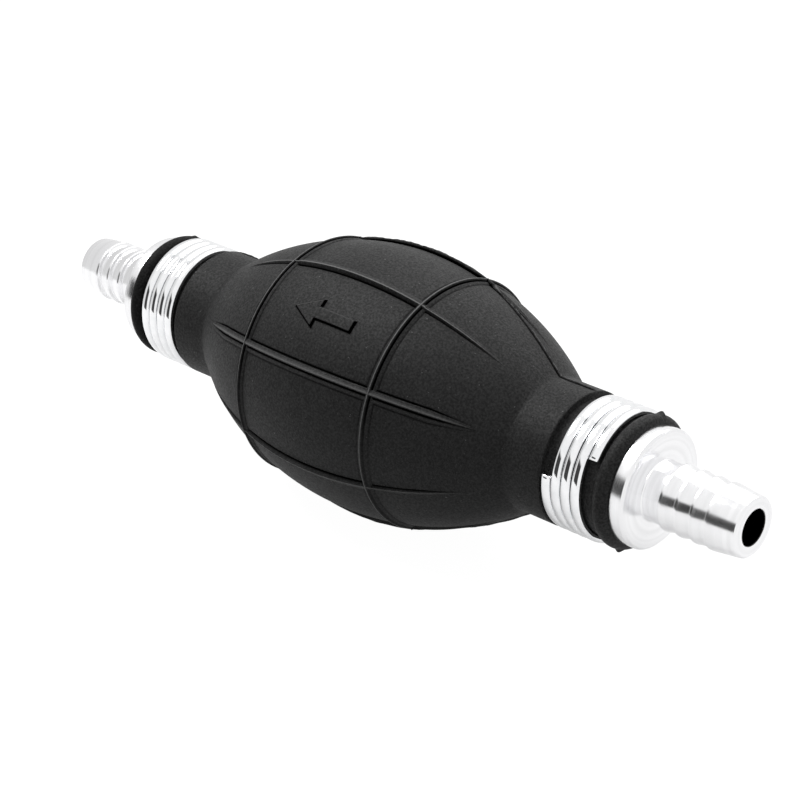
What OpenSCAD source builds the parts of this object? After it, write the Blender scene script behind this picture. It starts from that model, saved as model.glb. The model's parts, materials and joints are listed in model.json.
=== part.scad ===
// Siphon bulb pump: a rubber bulb squeezed by hand, with a barbed hose end and a
// spring-loaded check valve in each neck.
// X runs along the pump and the liquid flows towards -X, so +X is the inlet end.
// +Z is up, and the origin is the middle of the bulb, on the pump's axis.
// Angles round the axis are counted from the front (-Y) up towards +Z.

/* [Bulb] */
// Diameter of the bulb between its ribs
bulb_d = 50.4; // [48:0.2:52]
// Length of the swollen part between the two necks
bulb_len = 76; // [72:1:80]
// Thickness of the rubber wall
wall = 3; // [2.4:0.1:3.4]
// Diameter of each neck
neck_d = 25.2; // [25:0.1:26.4]
// Length of plain neck before the clamp channel
neck_plain = 8.3; // [6:0.1:10]

/* [Ribs and arrow] */
// Number of ribs that run along the bulb
rib_count = 8; // [4:2:12]
// Angle of the first rib above the front
rib_start = 25; // [0:1:44]
// Height of the ribs at the middle of the bulb
rib_h = 0.7; // [0.4:0.1:1.2]
// Width of the ribs
rib_w = 1.6; // [1:0.1:2.4]
// Distance from each ring-shaped rib to the middle of the pair
ring_x = 16; // [12:0.5:18]
// Radius of the ring-shaped rib's section
ring_section_r = 1; // [0.5:0.05:1.1]
// How far the pair of rings stands off the middle of the bulb, towards the inlet
ring_shift = -1; // [-1.5:0.1:1.5]
// Angle of the flow arrow above the front
arrow_angle = 48.2; // [45:0.1:50]
// Height of the flow arrow above the rubber
arrow_h = 0.4; // [0.2:0.1:0.8]

/* [Flexing walls] */
// Half width of each flexing wall
flex_half_w = 13.5; // [11:0.5:14]
// Half length of each flexing wall
flex_half_len = 21; // [18:0.5:24]
// Length of the cut across each corner of a flexing wall
flex_corner = 6; // [3:0.5:8]

/* [Coil clamps] */
// Width of the clamp wire along the neck
wire_w = 2.05; // [1.8:0.05:2.1]
// Thickness of the clamp wire
wire_h = 1.4; // [1.1:0.05:1.5]
// Distance from one turn to the next
coil_pitch = 2.15; // [2.12:0.01:2.2]
// Number of turns
coil_turns = 3.93; // [3.5:0.01:4]

/* [Hose ends] */
// Diameter over the barbs, for 12 mm hose
barb_d = 12.3; // [12:0.1:12.8]
// Diameter of the flow bore
bore_d = 6.56; // [5.6:0.02:6.8]
// Diameter of the flange
flange_d = 22; // [20:0.2:24]
// Thickness of the flange
flange_t = 2.9; // [2.4:0.1:3.6]
// Length from the flange to the tip
nipple_len = 19.4; // [18:0.1:22]
// Diameter of the plug inside the neck
plug_d = 17.6; // [17.4:0.1:18]

/* [Check valves] */
// How far a poppet lifts off its seat
poppet_lift = 2.4; // [1.6:0.1:2.4]
// Diameter of the valve chamber
chamber_d = 13.2; // [13:0.1:13.4]
// Diameter of the poppet's stem
stem_d = 3; // [2.6:0.1:3.2]
// Radial running clearance of the stem in its guide
stem_gap = 0.05; // [0.02:0.01:0.1]

/* [Hidden] */
$fn = 96;

// How far a cut runs on past the solid that it cuts
over = 1;

rubber_colour = "dimgray";
alloy_colour = "silver";
steel_colour = "lightsteelblue";
plastic_colour = "ivory";
seal_colour = "darkslategray";

// The bulb's outline is one arc from neck to neck, centred below the axis
bulb_r = bulb_d / 2;
neck_r = neck_d / 2;
body_half = bulb_len / 2;
bulb_rise = bulb_r - neck_r;
arc_r = (body_half * body_half + bulb_rise * bulb_rise) / (2 * bulb_rise);
arc_drop = arc_r - bulb_r;
function surface_r(x) = sqrt(arc_r * arc_r - x * x) - arc_drop;

// The crest of a rib is a tighter arc that ends a little above the surface
rib_margin = 6;
rib_half_len = body_half - rib_margin;
rib_end_h = 0.15;
crest_rise = bulb_r + rib_h - surface_r(rib_half_len) - rib_end_h;
crest_arc_r = (rib_half_len * rib_half_len + crest_rise * crest_rise) / (2 * crest_rise);
crest_drop = crest_arc_r - bulb_r - rib_h;

// Places along the neck, going outwards
channel_x0 = body_half + neck_plain;
coil_play = 0.15;
coil_len = coil_turns * coil_pitch + wire_w;
channel_x1 = channel_x0 + coil_len + 2 * coil_play;
bead_r = 1.55;
neck_end = channel_x1 + 2 * bead_r;
flange_x1 = neck_end + flange_t;
tip_x = flange_x1 + nipple_len;

channel_r = neck_r - wire_h;
// The wire stands a little clear of the channel so that its flats do not bite
coil_clear = 0.08;
bead_over_channel = 1.15;
bead_mid_r = channel_r + bead_over_channel - bead_r;

// The slot round a flexing wall
flex_gap = 0.25;
flex_depth = 2 * bulb_d;

// Hose end
bore_r = bore_d / 2;
barb_r = barb_d / 2;
barb_depth = 0.45;
valley_r = barb_r - barb_depth;
barb_pitch = 3.2;
barb_count = 4;
first_barb = flange_x1 + 3.8;
barb_rise = 0.25;
barb_land = 0.5;
tip_r = 5.55;
tip_chamfer = 0.3;
flange_chamfer = 0.35;
plug_r = plug_d / 2;
plug_len = 18.2;
plug_x0 = neck_end - plug_len;
plug_chamfer = 0.5;
groove_depth = 0.4;
groove_w = 1;
groove_gap = 3;

// Valve cartridge, measured from the back of its seat along the flow
chamber_r = chamber_d / 2;
cartridge_len = 13.6;
fit_gap = 0.05;
cartridge_r = chamber_r - fit_gap;
chamber_floor = 2.2;
chamber_end = neck_end - chamber_floor;
cartridge_x0 = chamber_end - cartridge_len;
snap_t = 1;
snap_play = 0.05;
snap_groove_r = chamber_r + 0.55;
snap_out_r = snap_groove_r - fit_gap;
snap_grip = 1.2;
snap_in_r = chamber_r - snap_grip;
snap_gap_angle = 50;

seat_t = 2.5;
seat_hole_r = 3.4;
lip_h = 0.3;
lip_r = 4.1;
o_ring_r = 0.42;
o_ring_groove_w = 1.2;
o_ring_play = 0.01;
o_ring_groove_r = chamber_r - 2 * (o_ring_r + o_ring_play);
disc_r = 4.6;
disc_t = 1.2;
head_r = 4.4;
head_t = 1.4;
spigot_r = 1.2;
spigot_cap_r = 2;
spigot_cap_t = 0.6;
disc_c = seat_t + lip_h;
head_c = disc_c + disc_t;
head_back = head_c + head_t;
stem_r = stem_d / 2;
stem_short = 0.2;
stem_end = cartridge_len - stem_short;
stem_chamfer = 0.3;

web_c = 11.4;
web_t = 1.4;
rim_in_r = 5.6;
bush_r = 2.3;
bush_front = head_back + poppet_lift + fit_gap;
bush_short = 0.6;
bush_back = cartridge_len - bush_short;
flow_holes = 8;
flow_hole_r = 1.15;
flow_hole_ring = 4.4;

spring_wire_r = 0.25;
spring_mid_r = 2.75;
spring_turns = 5;
spring_clear = 0.02;

// Spins a flat profile (radius across, distance along the pump upwards) about X
module turned() {
    rotate([0, 90, 0])
        rotate_extrude()
            children();
}

// A band of a turned profile: a rectangle from the axis out to r
module band(x0, x1, r) {
    translate([0, x0])
        square([r, x1 - x0]);
}

// Everything inside one arc of the bulb, between the two ends of the body
module arc_profile(r, drop, half_len) {
    intersection() {
        translate([-drop, 0])
            circle(r = r, $fn = 180);
        translate([0, -half_len])
            square([2 * bulb_r, 2 * half_len]);
    }
}

module neck_profile() {
    band(-channel_x0, channel_x0, neck_r);
    for (side = [-1, 1]) {
        mirror([0, side < 0 ? 1 : 0]) {
            band(channel_x0 - over, neck_end, channel_r);
            // Shoulder that closes the channel, and the rounded bead at the end
            band(channel_x1, neck_end, bead_mid_r);
            translate([bead_mid_r, channel_x1 + bead_r])
                circle(r = bead_r, $fn = 48);
        }
    }
}

module ring_rib_profile() {
    for (side = [-1, 1])
        translate([surface_r(ring_shift + side * ring_x), ring_shift + side * ring_x])
            circle(r = ring_section_r, $fn = 24);
}

// Seen from the side: the rib's crest above, and a root buried in the wall
module long_rib_outline() {
    difference() {
        intersection() {
            translate([0, -crest_drop])
                circle(r = crest_arc_r, $fn = 180);
            translate([-rib_half_len, 0])
                square([2 * rib_half_len, 2 * bulb_r]);
        }
        translate([0, -arc_drop])
            circle(r = arc_r - wall / 2, $fn = 180);
    }
}

module long_ribs() {
    for (i = [0 : rib_count - 1])
        rotate([180 - rib_start - i * 360 / rib_count, 0, 0])
            linear_extrude(height = rib_w, center = true)
                long_rib_outline();
}

// The arrow lies along the pump with its point towards the outlet
module arrow_outline() {
    point_x = -8.2;
    barb_x = -2.2;
    tail_x = 6.25;
    shaft_half = 1.22;
    head_half = 2.9;
    polygon([
        [point_x, 0], [barb_x, head_half], [barb_x, shaft_half], [tail_x, shaft_half],
        [tail_x, -shaft_half], [barb_x, -shaft_half], [barb_x, -head_half]
    ]);
}

module arrow() {
    intersection() {
        turned()
            arc_profile(arc_r + arrow_h, arc_drop, ring_x);
        rotate([90 - arrow_angle, 0, 0])
            linear_extrude(height = 2 * bulb_r)
                arrow_outline();
    }
}

// The whole moulding: body, necks, ribs and arrow, hollow inside
module moulding() {
    difference() {
        union() {
            turned() {
                arc_profile(arc_r, arc_drop, body_half);
                neck_profile();
                ring_rib_profile();
            }
            long_ribs();
            arrow();
        }
        turned() {
            arc_profile(arc_r - wall, arc_drop, body_half + neck_plain);
            band(-neck_end - over, neck_end + over, plug_r);
        }
    }
}

// Straight-sided column with cut corners that bounds a flexing wall
module flex_column(grow) {
    x = flex_half_len + grow;
    y = flex_half_w + grow;
    linear_extrude(height = flex_depth)
        polygon([
            [x, y - flex_corner], [x - flex_corner, y], [flex_corner - x, y], [-x, y - flex_corner],
            [-x, flex_corner - y], [flex_corner - x, -y], [x - flex_corner, -y], [x, flex_corner - y]
        ]);
}

module bulb() {
    color(rubber_colour)
        difference() {
            moulding();
            for (turn = [0, 180])
                rotate([turn, 0, 0])
                    flex_column(flex_gap);
        }
}

module flexing_wall(turn) {
    color(rubber_colour)
        intersection() {
            moulding();
            rotate([turn, 0, 0])
                flex_column(0);
        }
}

module bulb_top_wall() {
    flexing_wall(0);
}

module bulb_bottom_wall() {
    flexing_wall(180);
}

// Sweeps a closed section round a helix about X, whose angle falls as x grows. Each
// point of the section is [distance outwards, distance back along X].
module helix(section, mid_r, pitch, turns, steps_per_turn, start_angle) {
    steps = ceil(turns * steps_per_turn);
    n = len(section);
    points = [
        for (i = [0 : steps])
            let (
                a = start_angle - 360 * turns * i / steps,
                x = pitch * turns * i / steps
            )
            for (p = section)
                [x - p[1], -(mid_r + p[0]) * cos(a), (mid_r + p[0]) * sin(a)]
    ];
    sides = [
        for (i = [0 : steps - 1])
            for (j = [0 : n - 1])
                let (
                    a = i * n + j,
                    b = i * n + (j + 1) % n
                )
                each [[a, b, b + n], [a, b + n, a + n]]
    ];
    first_cap = [for (j = [n - 1 : -1 : 0]) j];
    last_cap = [for (j = [0 : n - 1]) steps * n + j];
    polyhedron(points = points, faces = concat([first_cap], sides, [last_cap]));
}

// A rectangle with cut corners, for the clamp wire
function wire_section(w, h, cut) = [
    [-h / 2, -w / 2 + cut], [-h / 2, w / 2 - cut], [-h / 2 + cut, w / 2], [h / 2 - cut, w / 2],
    [h / 2, w / 2 - cut], [h / 2, -w / 2 + cut], [h / 2 - cut, -w / 2], [-h / 2 + cut, -w / 2]
];

function round_section(r, n) = [
    for (i = [0 : n - 1]) [r * cos(360 * i / n), -r * sin(360 * i / n)]
];

module coil_clamp(start_angle) {
    corner_cut = 0.35;
    steps_per_turn = 30;
    mid_r = channel_r + coil_clear + wire_h / 2;
    color(steel_colour)
        translate([channel_x0 + coil_play + wire_w / 2, 0, 0])
            helix(wire_section(wire_w, wire_h, corner_cut), mid_r, coil_pitch, coil_turns,
                steps_per_turn, start_angle);
}

module inlet_coil_clamp() {
    coil_clamp(10);
}

// The same clamp turned end for end, which puts both of its wire ends at the back
module outlet_coil_clamp() {
    rotate([0, 0, 180])
        coil_clamp(-4);
}

// One tooth: a steep face towards the flange, a short land, then a long taper
module barb(x, taper_end, end_r) {
    polygon([
        [0, x - barb_rise], [valley_r, x - barb_rise], [barb_r, x], [barb_r, x + barb_land],
        [end_r, taper_end], [0, taper_end]
    ]);
}

module nipple_profile() {
    last = first_barb + (barb_count - 1) * barb_pitch;
    band(flange_x1, first_barb, valley_r);
    for (i = [0 : barb_count - 2]) {
        x = first_barb + i * barb_pitch;
        barb(x, x + barb_pitch - barb_rise, valley_r);
    }
    barb(last, tip_x - tip_chamfer, tip_r);
    polygon([
        [0, tip_x - tip_chamfer], [tip_r, tip_x - tip_chamfer],
        [tip_r - tip_chamfer, tip_x], [0, tip_x]
    ]);
}

module flange_profile() {
    r = flange_d / 2;
    polygon([
        [0, neck_end], [r, neck_end], [r, flange_x1 - flange_chamfer],
        [r - flange_chamfer, flange_x1], [0, flange_x1]
    ]);
}

module plug_profile() {
    difference() {
        polygon([
            [0, plug_x0], [plug_r - plug_chamfer, plug_x0], [plug_r, plug_x0 + plug_chamfer],
            [plug_r, neck_end], [0, neck_end]
        ]);
        // Grip grooves that the clamped rubber is squeezed into
        for (i = [1 : 3])
            translate([plug_r - groove_depth, neck_end - groove_w - i * groove_gap])
                square([2 * groove_depth, groove_w]);
    }
}

module hose_end() {
    color(alloy_colour)
        turned()
            difference() {
                union() {
                    plug_profile();
                    flange_profile();
                    nipple_profile();
                }
                band(plug_x0 - over, tip_x + over, bore_r);
                band(plug_x0 - over, chamber_end, chamber_r);
                band(cartridge_x0 - snap_t - snap_play, cartridge_x0, snap_groove_r);
            }
}

module inlet_hose_end() {
    hose_end();
}

module outlet_hose_end() {
    mirror([1, 0, 0])
        hose_end();
}

// Puts a cartridge piece, drawn along +X from the back of the seat, into the inlet
module in_inlet() {
    translate([chamber_end, 0, 0])
        mirror([1, 0, 0])
            children();
}

// The outlet cartridge points the same way, with its seat on the bulb's side
module in_outlet() {
    translate([-cartridge_x0, 0, 0])
        mirror([1, 0, 0])
            children();
}

module valve_seat() {
    color(alloy_colour)
        turned()
            difference() {
                union() {
                    band(0, seat_t, cartridge_r);
                    band(0, seat_t + lip_h, lip_r);
                }
                band(-over, seat_t + over, seat_hole_r);
                translate([o_ring_groove_r, (seat_t - o_ring_groove_w) / 2])
                    square([chamber_r, o_ring_groove_w]);
            }
}

// Drawn at its fitted size, squeezed between the groove and the chamber wall
module seat_o_ring() {
    color(seal_colour)
        turned()
            translate([chamber_r - o_ring_r - o_ring_play, seat_t / 2])
                circle(r = o_ring_r, $fn = 24);
}

module valve_disc() {
    color(seal_colour)
        turned()
            difference() {
                band(disc_c, head_c, disc_r);
                band(disc_c - over, head_c + over, spigot_r);
            }
}

module poppet() {
    color(plastic_colour)
        turned() {
            band(disc_c - spigot_cap_t, disc_c, spigot_cap_r);
            band(disc_c, head_c, spigot_r);
            band(head_c, head_back, head_r);
            band(head_back, stem_end - stem_chamfer, stem_r);
            polygon([
                [0, stem_end - stem_chamfer], [stem_r, stem_end - stem_chamfer],
                [stem_r - stem_chamfer, stem_end], [0, stem_end]
            ]);
        }
}

module valve_spring() {
    section_points = 6;
    steps_per_turn = 20;
    room = web_c - head_back - 2 * (spring_wire_r + spring_clear);
    color(steel_colour)
        translate([head_back + spring_wire_r + spring_clear, 0, 0])
            helix(round_section(spring_wire_r, section_points), spring_mid_r,
                room / spring_turns, spring_turns, steps_per_turn, 0);
}

module poppet_guide() {
    color(plastic_colour)
        difference() {
            turned() {
                band(web_c, web_c + web_t, cartridge_r);
                band(bush_front, bush_back, bush_r);
                difference() {
                    band(web_c, cartridge_len, cartridge_r);
                    band(web_c - over, cartridge_len + over, rim_in_r);
                }
            }
            turned()
                band(bush_front - over, cartridge_len + over, stem_r + stem_gap);
            for (i = [0 : flow_holes - 1])
                rotate([i * 360 / flow_holes, 0, 0])
                    translate([web_c - over, flow_hole_ring, 0])
                        rotate([0, 90, 0])
                            cylinder(r = flow_hole_r, h = web_t + 2 * over, $fn = 32);
        }
}

// An open ring, sprung into the groove at the mouth of the chamber
module snap_ring() {
    gap_half = snap_out_r * tan(snap_gap_angle / 2);
    color(steel_colour)
        translate([cartridge_x0 - snap_t, 0, 0])
            rotate([0, 90, 0])
                linear_extrude(height = snap_t)
                    difference() {
                        circle(r = snap_out_r);
                        circle(r = snap_in_r);
                        polygon([[0, 0], [snap_out_r, gap_half], [2 * snap_out_r, gap_half],
                            [2 * snap_out_r, -gap_half], [snap_out_r, -gap_half]]);
                    }
}

module inlet_valve_seat() {
    in_inlet() valve_seat();
}

module outlet_valve_seat() {
    in_outlet() valve_seat();
}

module inlet_seat_o_ring() {
    in_inlet() seat_o_ring();
}

module outlet_seat_o_ring() {
    in_outlet() seat_o_ring();
}

module inlet_poppet() {
    in_inlet() poppet();
}

module outlet_poppet() {
    in_outlet() poppet();
}

module inlet_valve_disc() {
    in_inlet() valve_disc();
}

module outlet_valve_disc() {
    in_outlet() valve_disc();
}

module inlet_valve_spring() {
    in_inlet() valve_spring();
}

module outlet_valve_spring() {
    in_outlet() valve_spring();
}

module inlet_poppet_guide() {
    in_inlet() poppet_guide();
}

module outlet_poppet_guide() {
    in_outlet() poppet_guide();
}

module inlet_snap_ring() {
    snap_ring();
}

module outlet_snap_ring() {
    mirror([1, 0, 0])
        snap_ring();
}

bulb();
bulb_top_wall();
bulb_bottom_wall();
inlet_hose_end();
outlet_hose_end();
inlet_coil_clamp();
outlet_coil_clamp();
inlet_valve_seat();
outlet_valve_seat();
inlet_seat_o_ring();
outlet_seat_o_ring();
inlet_poppet();
outlet_poppet();
inlet_valve_disc();
outlet_valve_disc();
inlet_valve_spring();
outlet_valve_spring();
inlet_poppet_guide();
outlet_poppet_guide();
inlet_snap_ring();
outlet_snap_ring();
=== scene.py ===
"""Looks for the siphon bulb pump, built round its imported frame.

X runs along the pump with the inlet at +X, +Z is up, and everything is in metres.
Angles round the pump are in degrees from the front (-Y) up towards +Z.
"""

import json
import math

import bpy
import numpy as np
from mathutils import Matrix, Vector


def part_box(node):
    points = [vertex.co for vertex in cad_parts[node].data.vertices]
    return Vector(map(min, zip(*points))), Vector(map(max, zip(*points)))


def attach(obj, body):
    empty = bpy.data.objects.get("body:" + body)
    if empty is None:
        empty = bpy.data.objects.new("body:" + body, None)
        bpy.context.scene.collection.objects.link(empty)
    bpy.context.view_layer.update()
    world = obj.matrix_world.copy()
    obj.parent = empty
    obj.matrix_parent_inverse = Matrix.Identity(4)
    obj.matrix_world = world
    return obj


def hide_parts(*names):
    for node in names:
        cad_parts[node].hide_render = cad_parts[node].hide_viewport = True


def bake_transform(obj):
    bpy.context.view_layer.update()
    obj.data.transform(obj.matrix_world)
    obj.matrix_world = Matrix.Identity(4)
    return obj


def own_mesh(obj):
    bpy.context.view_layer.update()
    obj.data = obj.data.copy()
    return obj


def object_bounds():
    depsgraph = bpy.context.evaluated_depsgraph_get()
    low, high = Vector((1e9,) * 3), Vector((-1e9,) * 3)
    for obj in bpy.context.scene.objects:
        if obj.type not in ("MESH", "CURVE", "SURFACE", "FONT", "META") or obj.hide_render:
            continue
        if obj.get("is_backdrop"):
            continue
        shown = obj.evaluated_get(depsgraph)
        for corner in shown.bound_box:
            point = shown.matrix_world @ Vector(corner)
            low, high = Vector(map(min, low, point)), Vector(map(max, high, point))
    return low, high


MM = 0.001
TONE = "tone"

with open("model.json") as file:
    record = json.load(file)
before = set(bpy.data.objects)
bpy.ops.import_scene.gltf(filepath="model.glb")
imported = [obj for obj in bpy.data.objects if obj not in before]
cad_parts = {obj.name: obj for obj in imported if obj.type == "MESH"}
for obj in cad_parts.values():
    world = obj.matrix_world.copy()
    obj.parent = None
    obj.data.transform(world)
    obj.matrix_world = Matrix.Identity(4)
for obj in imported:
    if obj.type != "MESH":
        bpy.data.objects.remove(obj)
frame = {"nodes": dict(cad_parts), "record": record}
cad_low, cad_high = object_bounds()

# ---------------------------------------------------------------- sizes from the frame

_, bulb_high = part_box("bulb")
hose_low, hose_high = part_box("inlet_hose_end")
coil_low, coil_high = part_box("inlet_coil_clamp")
ring_low, ring_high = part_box("inlet_snap_ring")
_, o_ring_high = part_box("inlet_seat_o_ring")
mount = frame["record"]["mounts"][0]

BULB_R = cad_high.z
NECK_END = bulb_high.x
TIP_X = hose_high.x
PLUG_X = hose_low.x
FLANGE_R = hose_high.z
BARB_R = mount["dims"]["r_mm"] * MM
BARB_LAND = mount["dims"]["length_mm"] * MM
BARB_X = mount["pos_m"][0] - BARB_LAND / 2
BARB_PITCH = 3.2 * MM
CHAMBER_R = o_ring_high.z + 0.01 * MM

# ---------------------------------------------------------------- sizes of the moulding

BODY_HALF = 38 * MM
# The body runs into the neck over this distance on either side of its end
CREASE_HALF = 1.2 * MM
NECK_R = 12.6 * MM
WALL = 3 * MM
WIRE_H = 1.4 * MM
WIRE_W = 1.98 * MM
WIRE_SQUARENESS = 2.5
COIL_TURNS = 3.93
COIL_PLAY = 0.15 * MM
CHANNEL_R = NECK_R - WIRE_H
CHANNEL_X0 = coil_low.x - COIL_PLAY
BEAD_R = 1.55 * MM
BEAD_MID_R = CHANNEL_R + 1.15 * MM - BEAD_R
# Painted shade makes the bead at the outlet a deeper black than the one at the inlet
OUTLET_BEAD_SHADE = -0.5
PLUG_R = 8.8 * MM
BORE_R = 3.28 * MM
# Painted shade inside the bores of the hose ends
BORE_SHADE_COLOUR = (0.025, 0.024, 0.023)

RIB_COUNT = 8
RIB_START = 25
RIB_H = 0.74 * MM
OPENING_RIB_END = 34.5 * MM
OTHER_RIB_END = 32.5 * MM
# Outside the rings the side ribs are thinner
RIB_THIN_FROM = 15.5 * MM
RIB_THINNED = 0.6
RING_PLACES = (-17.1 * MM, 14.7 * MM)
RING_H = 0.75 * MM
# The painted shade on the rings is weaker round the lower half of the bulb
LEAST_RING_SHADE = 0.35
# A line lower than this has a weaker tone
FULL_TONE_H = 0.3 * MM

# Along each parting line of the mould runs a thin ragged fin with a painted highlight and a line
# of painted shade beside it
PARTING_ANGLES = (115, 295)
RAGGEDNESS = (1, 0.3)
FLASH_H = 0.26 * MM
FLASH_W = 0.2 * MM
FLASH_WAVES = 14
FLASH_WAVELENGTHS = (1.5 * MM, 9 * MM)
FLASH_HIGHLIGHT = 0.6
FLASH_SHADE_OFFSET = 0.35 * MM
# On the end beads it swells into a nub, smaller at the outlet
NUB_H = 0.55 * MM
NUB_W = 0.42 * MM
NUB_LENGTH = 0.8 * MM
OUTLET_NUB_SHARE = 0.4
# Towards the inlet it grows and wanders off round the bulb
GROWTH = 0.9
GROWTH_RUN = 6 * MM
WANDER_START = 16 * MM
WANDER_END = 38 * MM
WANDER_ANGLE = -11
# The bulb is built as two halves that meet along the crests of two ribs
SPLIT_ANGLE = -20

# Sections of the raised lines, as (millimetres across, share of the full height, tone). The
# tone is 1 for a painted highlight on a crest, -1 for painted shade in a groove and 0
# elsewhere. The mould opens along the first and the fifth rib.
OPENING_RIB = (
    (-1.75, 0, 0), (-1.65, -0.08, -0.6), (-1.45, -0.08, -0.6), (-1.35, 0.1, 0), (-1.1, 0.45, 0.2),
    (-0.8, 0.35, 0), (-0.65, 0.25, -1), (-0.35, 0.45, -1), (-0.2, 0.95, 0.3), (0, 1, 0.7),
    (0.2, 0.93, 0.3), (0.75, 0.65, 0), (0.85, 0.1, -1), (1.1, -0.12, -1), (1.25, 0, 0),
)
SIDE_RIB = (
    (-0.6, 0, 0), (-0.5, -0.12, -1), (-0.2, -0.05, -1), (-0.05, 0.2, -0.3), (0.2, 0.85, 0),
    (0.3, 1, 1), (0.45, 0.95, 0.3), (0.6, 0.8, 0), (1.6, 0, 0),
)
TURNED_RIB = tuple((0.3 - across, share, tone) for across, share, tone in reversed(SIDE_RIB))
PARTING_RIB = (
    (-0.85, 0, 0), (-0.75, -0.12, -1), (-0.5, -0.12, -1), (-0.4, 0.05, 0), (-0.1, 0.9, 0),
    (0, 1, 0.7), (0.1, 0.9, 0), (0.4, 0.05, 0), (0.5, -0.12, -1), (0.75, -0.12, -1), (0.85, 0, 0),
)
RIBS = (OPENING_RIB, SIDE_RIB, PARTING_RIB, TURNED_RIB)
RING = (
    (-1.25, 0, 0), (-1.1, -0.06, -0.5), (-0.9, -0.06, -0.5), (-0.8, 0.05, 0), (-0.15, 0.9, 0),
    (0, 1, 1), (0.15, 0.85, 0), (0.25, 0.55, -1), (0.5, 0.4, -1), (0.6, 0.38, 0), (1, 0.12, 0),
    (1.1, -0.06, -0.5), (1.3, -0.06, -0.5), (1.4, 0, 0),
)

ARROW_ANGLE = 48.2
ARROW_H = 0.5 * MM
ARROW_WALL = 0.32 * MM
ARROW_RIM_W = 0.16 * MM
# Strength of the painted highlight along the arrow's rim
ARROW_RIM_HIGHLIGHT = 0.3
ARROW = np.array([
    [-8.2, 0], [-2.2, 2.9], [-2.2, 1.22], [6.25, 1.22],
    [6.25, -1.22], [-2.2, -1.22], [-2.2, -2.9],
]) * MM

_rise = BULB_R - NECK_R
ARC_R = (BODY_HALF ** 2 + _rise ** 2) / (2 * _rise)
ARC_DROP = ARC_R - BULB_R


def surface_r(x):
    """Radius of the bulb's smooth outline at x."""
    return np.sqrt(np.maximum(ARC_R ** 2 - x * x, 0)) - ARC_DROP


# ---------------------------------------------------------------- mesh helpers

def signed_volume(verts, faces):
    """Volume inside a closed mesh, negative when its faces look inwards."""
    a = verts[faces[:, 0]]
    total = 0.0
    for k in range(1, faces.shape[1] - 1):
        b, c = verts[faces[:, k]], verts[faces[:, k + 1]]
        total += np.einsum("ij,ij->i", a, np.cross(b, c)).sum() / 6
    return total


def make_piece(name, verts, quads, triangles=None, flat_triangles=True):
    """A closed mesh with its faces turned outwards. Triangles can be shaded flat."""
    volume = signed_volume(verts, quads)
    if triangles is not None:
        volume += signed_volume(verts, triangles)
    if volume < 0:
        quads = quads[:, ::-1]
        triangles = None if triangles is None else triangles[:, ::-1]
    faces = quads.tolist()
    if triangles is not None:
        faces += triangles.tolist()
    mesh = bpy.data.meshes.new(name)
    mesh.from_pydata(verts.tolist(), [], faces)
    smooth = np.ones(len(faces), bool)
    if triangles is not None and flat_triangles:
        smooth[len(quads):] = False
    mesh.polygons.foreach_set("use_smooth", smooth)
    mesh.update()
    piece = bpy.data.objects.new(name, mesh)
    bpy.context.scene.collection.objects.link(piece)
    return piece


def round_about_x(x, r, angle):
    """Points at distance r from the axis, at an angle in radians from the front upwards."""
    return np.stack([x, -r * np.cos(angle), r * np.sin(angle)], axis=-1)


def rounded(points, radii, steps=5):
    """A closed outline of (x, r) points whose corners are rounded by arcs."""
    points = [np.array(p, float) for p in points]
    out = []
    for i, p in enumerate(points):
        before, after = points[i - 1], points[(i + 1) % len(points)]
        u, v = before - p, after - p
        lu, lv = np.linalg.norm(u), np.linalg.norm(v)
        u, v = u / lu, v / lv
        half = math.acos(max(-1.0, min(1.0, float(u @ v)))) / 2
        radius = radii[i]
        if radius <= 0 or half > math.radians(89):
            out.append(p)
            continue
        cut = min(radius / math.tan(half), 0.45 * lu, 0.45 * lv)
        radius = cut * math.tan(half)
        middle = p + (u + v) / np.linalg.norm(u + v) * (radius / math.sin(half))
        start, end = p + u * cut - middle, p + v * cut - middle
        turn = math.atan2(start[0] * end[1] - start[1] * end[0], float(start @ end))
        for k in range(steps + 1):
            a = turn * k / steps
            c, s = math.cos(a), math.sin(a)
            out.append(middle + [c * start[0] - s * start[1], s * start[0] + c * start[1]])
    return np.array(out)


def lathe(name, outline, segments=192):
    """Turns a closed outline of (x, r) points about the X axis."""
    n = len(outline)
    angles = np.arange(segments) * 2 * math.pi / segments
    x = np.broadcast_to(outline[:, 0], (segments, n))
    r = np.broadcast_to(outline[:, 1], (segments, n))
    verts = round_about_x(x, r, angles[:, None]).reshape(-1, 3)
    j, i = np.meshgrid(np.arange(segments), np.arange(n), indexing="ij")
    j2, i2 = (j + 1) % segments, (i + 1) % n
    quads = np.stack([j * n + i, j * n + i2, j2 * n + i2, j2 * n + i], axis=-1).reshape(-1, 4)
    piece = make_piece(name, verts, quads)
    piece.data.set_sharp_from_angle(angle=math.radians(40))
    return piece


def sweep(name, centre, outward, along, section):
    """Sweeps a section of (outward, along) offsets through a run of points and caps both ends."""
    n = len(section)
    verts = (
        centre[:, None, :]
        + section[None, :, 0, None] * outward[:, None, :]
        + section[None, :, 1, None] * along[:, None, :]
    ).reshape(-1, 3)
    steps = len(centre)
    j, i = np.meshgrid(np.arange(steps - 1), np.arange(n), indexing="ij")
    i2 = (i + 1) % n
    quads = np.stack([j * n + i, j * n + i2, (j + 1) * n + i2, (j + 1) * n + i], -1).reshape(-1, 4)
    middle = np.array([centre[0], centre[-1]])
    verts = np.concatenate([verts, middle])
    first, last = steps * n, steps * n + 1
    k = np.arange(n)
    k2 = (k + 1) % n
    base = (steps - 1) * n
    caps = np.concatenate([
        np.stack([k2, k, np.full(n, first)], -1),
        np.stack([base + k, base + k2, np.full(n, last)], -1),
    ])
    return make_piece(name, verts, quads, caps)


# ---------------------------------------------------------------- bulb

def smooth_step(t):
    """Rises from 0 to 1 with level ends."""
    t = np.clip(t, 0, 1)
    return t * t * (3 - 2 * t)


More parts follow.
